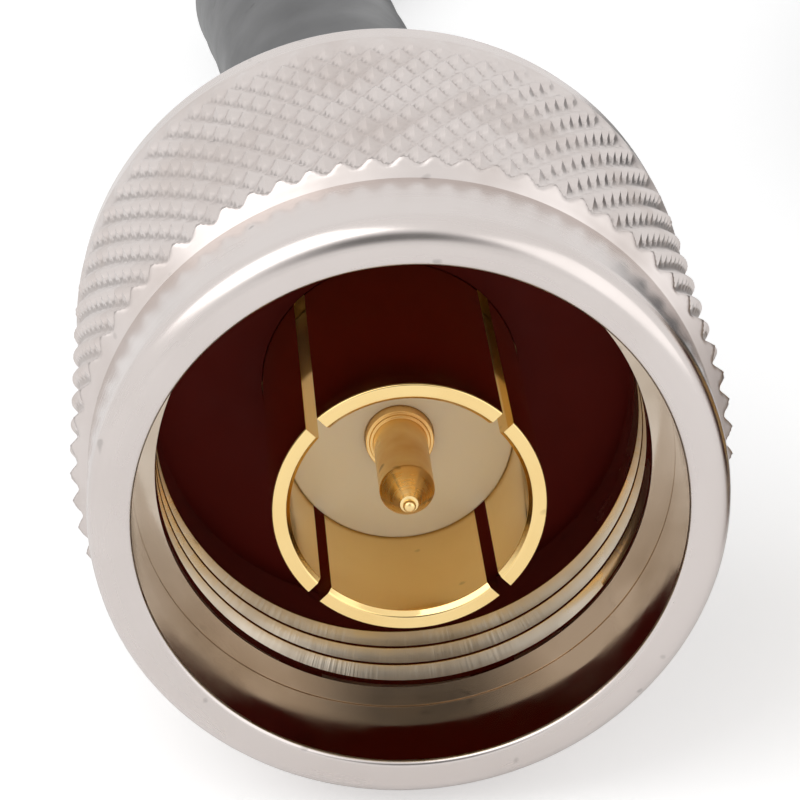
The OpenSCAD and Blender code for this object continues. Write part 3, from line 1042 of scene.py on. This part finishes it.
@dataclass
class Pin(TurnedPiece):
    """The centre pin: nub, cone, cylinder, shoulder, and the flange and solder cup that the beads hide."""

    nub: tuple[tuple[float, float], ...] = (
        (0.0, 0.0), (0.09, 0.012), (0.15, 0.05), (0.185, 0.11), (0.195, 0.19), (0.185, 0.25)
    )
    tip: tuple[float, float] = (0.27, 0.27)
    radius: float = 0.825
    cone_end: float = 1.2
    cone_fillet: float = 0.12
    step: float = 4.32
    step_r: float = 0.93
    ring: float = 4.4
    ring_r: float = 1.04
    small_fillets: tuple[float, float] = (0.03, 0.02)
    seat: tuple[float, float] = (5.85, 9.15)
    seat_r: float = 1.52
    flange_end: float = 10.05
    flange_r: float = 2.2
    cup: tuple[float, float] = (10.7, 13.6)
    cup_r: float = 1.3
    cup_bore_r: float = 0.72
    columns: int = 128

    def profile(self) -> np.ndarray:
        """The pin's profile, which starts and ends on the axis.

        Returns:
            Its points (radius, s) in millimetres.
        """
        small, least = self.small_fillets
        floor, end = self.cup
        return np.vstack([
            self.nub,
            rounded([
                (*self.tip, 0), (self.radius, self.cone_end, self.cone_fillet),
                (self.radius, self.step, small), (self.step_r, self.step, small),
                (self.step_r, self.ring, least), (self.ring_r, self.ring, small),
                (self.ring_r, self.seat[0], 0), (self.seat_r, self.seat[0], 0),
                (self.seat_r, self.seat[1], 0), (self.flange_r, self.seat[1], 0),
                (self.flange_r, self.flange_end, 0), (self.cup_r, self.flange_end, 0),
                (self.cup_r, end, 0), (self.cup_bore_r, end, 0), (self.cup_bore_r, floor, 0)], 4),
            [(0.0, floor)]])


@dataclass
class Gasket(TurnedPiece):
    """The flat ring of silicone, with a lip that reaches in over the outer contact's collar."""

    diameter: float = 15.9
    lip_r: float = 4.06
    inner_r: float = 4.26
    front: float = 8.75
    lip_rear: float = 9.19
    rear: float = 10.74
    edge: float = 0.1
    lip_edge: float = 0.02

    def profile(self) -> np.ndarray:
        """The gasket's closed profile.

        Returns:
            Its points (radius, s) in millimetres.
        """
        outer = self.diameter / 2
        return rounded([
            (self.inner_r, self.lip_rear, 0), (self.lip_r, self.lip_rear, 0),
            (self.lip_r, self.front, self.lip_edge), (outer, self.front, self.edge),
            (outer, self.rear, self.edge), (self.inner_r, self.rear, 0)], 5)


@dataclass
class Bead(TurnedPiece):
    """The front insulator, with a narrow bore round the pin's shoulder and a wide one behind it."""

    bore_r: float = 1.05
    wide_r: float = 1.53
    outer_r: float = 3.5
    front: float = 4.75
    step: float = 5.84
    rear: float = 9.14
    bore_edge: float = 0.05
    rim_edge: float = 0.08

    def profile(self) -> np.ndarray:
        """The bead's closed profile.

        Returns:
            Its points (radius, s) in millimetres.
        """
        return rounded([
            (self.bore_r, self.front, self.bore_edge), (self.outer_r, self.front, self.rim_edge),
            (self.outer_r, self.rear, 0), (self.wide_r, self.rear, 0), (self.wide_r, self.step, 0),
            (self.bore_r, self.step, 0)], 4)


@dataclass
class Plug:
    """One plug and everything on it."""

    side: Side
    shrink: Shrink
    turn: float = 0.0
    nut: Nut = field(default_factory=Nut)
    sleeve: Sleeve = field(default_factory=Sleeve)
    pin: Pin = field(default_factory=Pin)
    gasket: Gasket = field(default_factory=Gasket)
    bead: Bead = field(default_factory=Bead)
    shown: list[bpy.types.Object] = field(default_factory=list)

    @property
    def place(self) -> Placement:
        """Where the plug lies: the middle of the outer contact's rim, worked out from its box.

        Returns:
            The plug's reference point and turn.
        """
        low, high = (np.array(c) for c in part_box(f"{self.side.value}_outer_contact"))
        ahead = np.array([-math.sin(self.turn), math.cos(self.turn), 0.0])
        middle = 0.5 * (low + high)
        return Placement(tuple(middle - 0.5 * abs(float((high - low) @ ahead)) * ahead), self.turn)

    def dress(self, node: str, finish: Finish) -> None:
        """Gives a CAD node its finish.

        Args:
            node: The node's name without its side.
            finish: The finish.
        """
        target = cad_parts[f"{self.side.value}_{node}"]
        target.data.materials.clear()
        target.data.materials.append(finish.make(self.place))
        self.shown.append(target)
        LOG.info("%s: %s", target.name, finish.name)

    def stand_in(self, piece: bpy.types.Object, node: str, body: str, *finishes: Finish) -> None:
        """Sets a finer mesh in the place of a CAD node.

        Args:
            piece: The mesh.
            node: The CAD node's name without its side.
            body: The body that it rides on.
            *finishes: Its finish, and those of its other material slots.
        """
        for finish in finishes:
            piece.data.materials.append(finish.make(self.place))
        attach(piece, body)
        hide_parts(f"{self.side.value}_{node}")
        self.shown.append(piece)
        LOG.info("%s: %d faces, %s", piece.name, len(piece.data.polygons), finishes[0].name)

    def build(self) -> None:
        """Builds the plug's finer meshes and dresses its CAD nodes."""
        side = self.side.value
        for part, name, node, body, finishes in (
            (self.nut, "nut_turned", "coupling_nut", f"{side}_nut", (NICKEL, BORE, THREADED, KNURLED)),
            (self.sleeve, "sleeve", "outer_contact", "root", (GOLD,)),
            (self.pin, "pin", "centre_pin", "root", (PIN_GOLD,)),
            (self.gasket, "seal", "gasket", "root", (SILICONE,)),
            (self.bead, "bead", "front_insulator", "root", (PTFE,)),
            (self.shrink, "shrink", "heat_shrink", "root", (SHRINK,)),
        ):
            self.stand_in(part.build(f"{side}_{name}", self.place), node, body, *finishes)
        for node, finish in (
            ("retaining_ring", STEEL), ("plug_body", NICKEL), ("rear_insulator", PTFE),
            ("centre_conductor", COPPER), ("dielectric", FOAM), ("braid", BRAID),
            ("crimp_ferrule", NICKEL),
        ):
            self.dress(node, finish)


NEAR_TAIL = [(-0.1, 29.5, 0), (-0.2, 31, 0), (-0.6, 34, 0), (-1.1, 38, 0), (-1.8, 44, -0.2), (-2, 46, -0.4)]
FAR_TAIL = [(0, 29.5, 0), (0, 34, 0), (0, 40, -0.1), (-0.1, 46, -0.4)]


# ---- The set ----


def hang(name: str, data: bpy.types.ID, place: Vector, ahead: Vector) -> bpy.types.Object:
    """Hangs a camera or a lamp.

    Args:
        name: Its name.
        data: The camera's or lamp's data.
        place: Where it hangs, in metres.
        ahead: Which way it looks.

    Returns:
        The new object.
    """
    thing = bpy.data.objects.new(name, data)
    thing.location = place
    thing.rotation_mode = "QUATERNION"
    thing.rotation_quaternion = ahead.to_track_quat("-Z", "Y")
    bpy.context.scene.collection.objects.link(thing)
    return thing


@dataclass(frozen=True)
class View:
    """The camera: a long lens above and in front of the mouth.

    Angles are degrees, the target and the distance millimetres, the near and far clips metres.
    """

    azimuth: float = -3.786
    elevation: float = 25.899
    target: tuple[float, float, float] = (-0.349, -0.87, 3.975)
    distance: float = 103.281
    lens: float = 162.4
    sensor: float = 36.0
    clips: tuple[float, float] = (0.005, 5.0)

    def take(self) -> None:
        """Makes the camera and sets it as the scene's own."""
        data = bpy.data.cameras.new("camera")
        data.sensor_width, data.lens = self.sensor, self.lens
        data.clip_start, data.clip_end = self.clips
        azimuth, elevation = math.radians(self.azimuth), math.radians(self.elevation)
        level = math.cos(elevation)
        back = Vector((math.sin(azimuth) * level, -math.cos(azimuth) * level, math.sin(elevation)))
        place = Vector(self.target) * MM + back * self.distance * MM
        bpy.context.scene.camera = hang("camera", data, place, -back)


@dataclass(frozen=True)
class Lamp:
    """A square soft lamp that faces the plug, with its place and side in metres and its power in watts."""

    name: str
    place: tuple[float, float, float]
    size: float
    power: float

    def light(self) -> None:
        """Makes the lamp and turns it to the plug."""
        data = bpy.data.lights.new(self.name, "AREA")
        data.size, data.energy = self.size, self.power
        place = Vector(self.place)
        hang(self.name, data, place, Vector(LAMP_AIM) - place)


# Where the lamps are turned to, in metres
LAMP_AIM = (0.0, 0.005, 0.0)
LAMPS = (Lamp("key", (-0.28, -0.12, 0.42), 0.5, 1.0), Lamp("fill", (0.4, -0.3, 0.25), 0.5, 0.4))


def ray_masks(n: Nodes) -> tuple[bpy.types.NodeSocket, bpy.types.NodeSocket]:
    """Reads what kind of ray a shader answers.

    Args:
        n: The tree's node writer.

    Returns:
        1 for a ray that sees the surface straight or through glass, and 1 for one from a gloss.
    """
    path = n.add("ShaderNodeLightPath")
    clear = n.math("MAXIMUM", path.outputs["Is Camera Ray"], path.outputs["Is Transmission Ray"])
    return clear, path.outputs["Is Glossy Ray"]


def set_floor(size: float = 2.5, gap: float = 0.00002) -> None:
    """Lays the white floor just under the nuts: a matt sheet that shows the shadow, lifted to white where
    it is seen.

    Args:
        size: Half its side in metres.
        gap: How far below the nuts it lies, in metres.
    """
    low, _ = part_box("near_coupling_nut")
    z = low[2] - gap
    corners = np.array([(-size, -size, z), (size, -size, z), (size, size, z), (-size, size, z)])
    floor = make_mesh("floor", corners, [[0, 1, 2, 3]], crease=38.0)
    material = bpy.data.materials.new("floor")
    material.use_nodes = True
    n = Nodes(material.node_tree)
    shader = material.node_tree.nodes["Principled BSDF"]
    clear, gloss = ray_masks(n)
    shine = n.math("MULTIPLY", gloss, FLOOR_SHINE)
    n.put(shader, {
        "Base Color": (0.8, 0.8, 0.8, 1), "Roughness": 0.9, "Specular IOR Level": 0.1,
        "Emission Color": (1, 1, 1, 1),
        "Emission Strength": n.math("MAXIMUM", n.math("MULTIPLY", clear, FLOOR_LIFT), shine)})
    floor.data.materials.append(material)


def set_light() -> None:
    """Makes the surroundings and the soft lamps. The surroundings are white where they are seen, and in
    reflections too, but for their darker side."""
    bpy.context.scene.view_settings.view_transform = "Standard"
    world = bpy.data.worlds.new("world")
    world.use_nodes = True
    bpy.context.scene.world = world
    n = Nodes(world.node_tree)
    towards = n.add("ShaderNodeVectorMath", operation="DOT_PRODUCT")
    n.put(towards, {0: n.add("ShaderNodeTexCoord").outputs["Generated"], 1: ROOM_SIDE})
    room = n.span(towards.outputs["Value"], *ROOM_EDGE, 1.0, ROOM_DARK)
    clear, gloss = ray_masks(n)
    seen = n.math("MAXIMUM", clear, n.math("MULTIPLY", gloss, room))
    unseen = n.math("SUBTRACT", 1.0, n.math("MAXIMUM", clear, gloss))
    strength = n.math("MAXIMUM", seen, n.math("MULTIPLY", WORLD_LIGHT, unseen))
    n.put(world.node_tree.nodes["Background"], {"Color": (1, 1, 1, 1), "Strength": strength})
    for lamp in LAMPS:
        lamp.light()


def main() -> None:
    """Builds the set, the cable and both plugs."""
    logging.basicConfig(level=logging.INFO, format="%(name)s: %(message)s")
    View().take()
    GROUPS["turning"] = turning_group()
    GROUPS["handling"] = smudge_group()
    cable = Cable()
    jacket = cable.build()
    near = Plug(Side.NEAR, Shrink(NEAR_TAIL))
    far = Plug(Side.FAR, Shrink(FAR_TAIL), turn=-0.5 * math.pi)
    near.build()
    far.build()
    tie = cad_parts["coil_tie"]
    tie.data.materials.clear()
    tie.data.materials.append(STRAP.make(HERE))
    LOG.info("%s: %s", tie.name, STRAP.name)
    set_floor()
    set_light()


if __name__ == "__main__":
    main()
